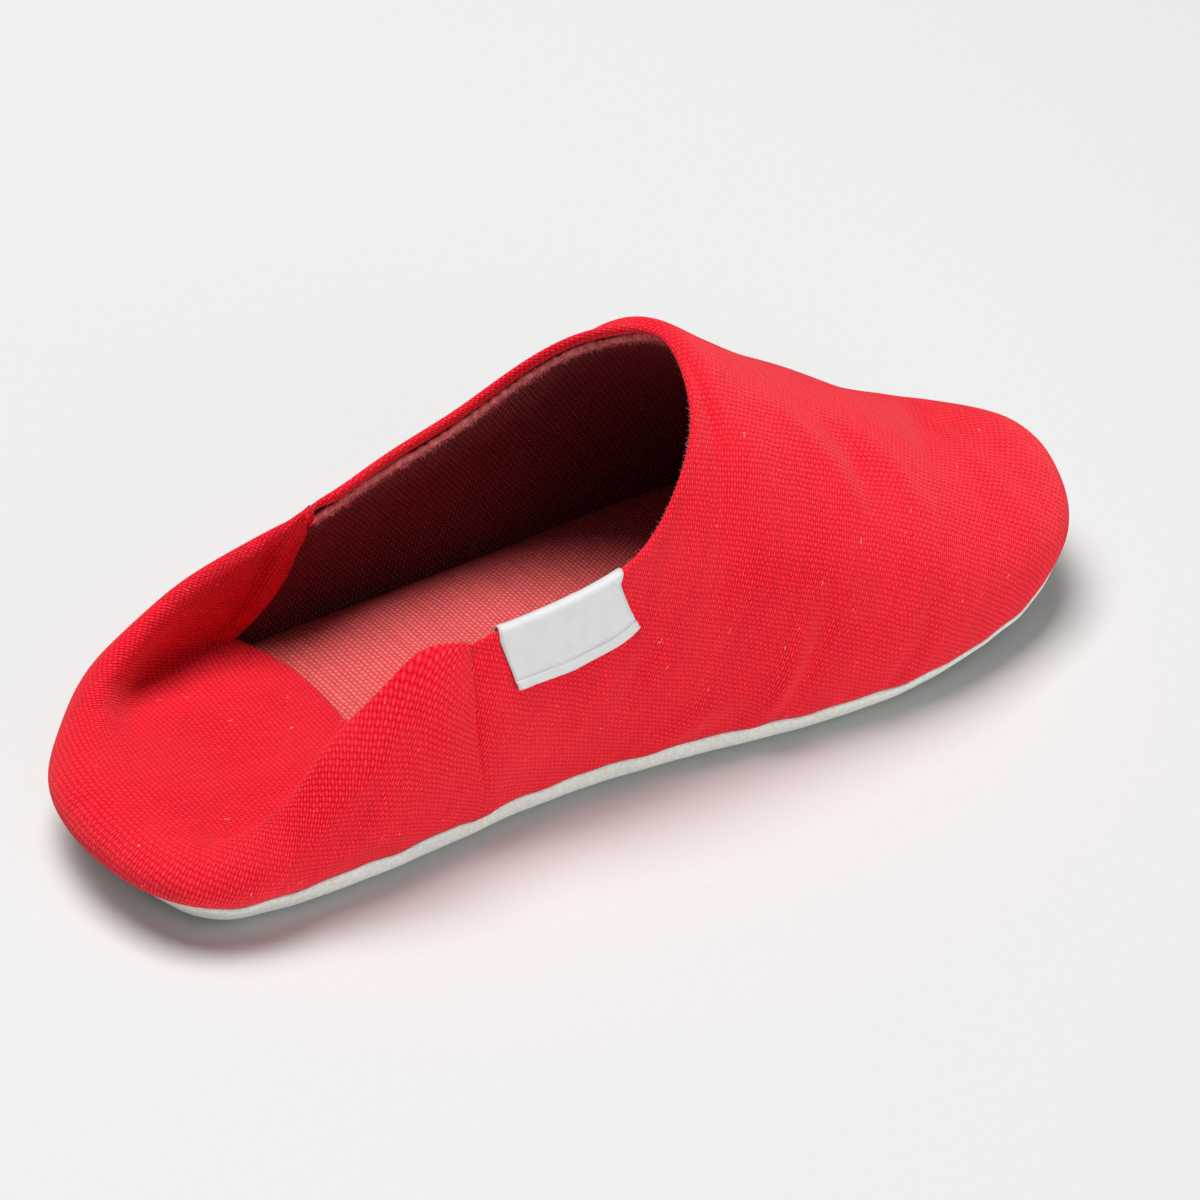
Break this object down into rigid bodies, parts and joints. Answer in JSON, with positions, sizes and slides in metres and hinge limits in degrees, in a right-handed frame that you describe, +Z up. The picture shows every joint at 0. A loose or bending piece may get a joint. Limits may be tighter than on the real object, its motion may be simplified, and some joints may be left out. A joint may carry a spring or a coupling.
{
  "type": "babouche slipper",
  "caption": "Soft backless slipper: closed canvas vamp over a flat cupped sole, heel quarter trodden down onto a padded insole.",
  "frame": {"origin": "on the floor, under the middle of the slipper's bounding box", "axes": "+X from heel to toe, +Y to the outer side of the foot, +Z up from the floor"},
  "size_m": [0.2514, 0.0922, 0.0835],
  "materials": {
    "canvas": "matt plain-weave cotton canvas",
    "suede": "fine-grained synthetic suede",
    "lining": "matt plain-weave cloth",
    "tag": "smooth satin tape, blank"
  },
  "bodies": {
    "root": {"upper": "canvas", "sole": "suede", "insole": "lining", "tag": "tag"}
  },
  "joints": []
}
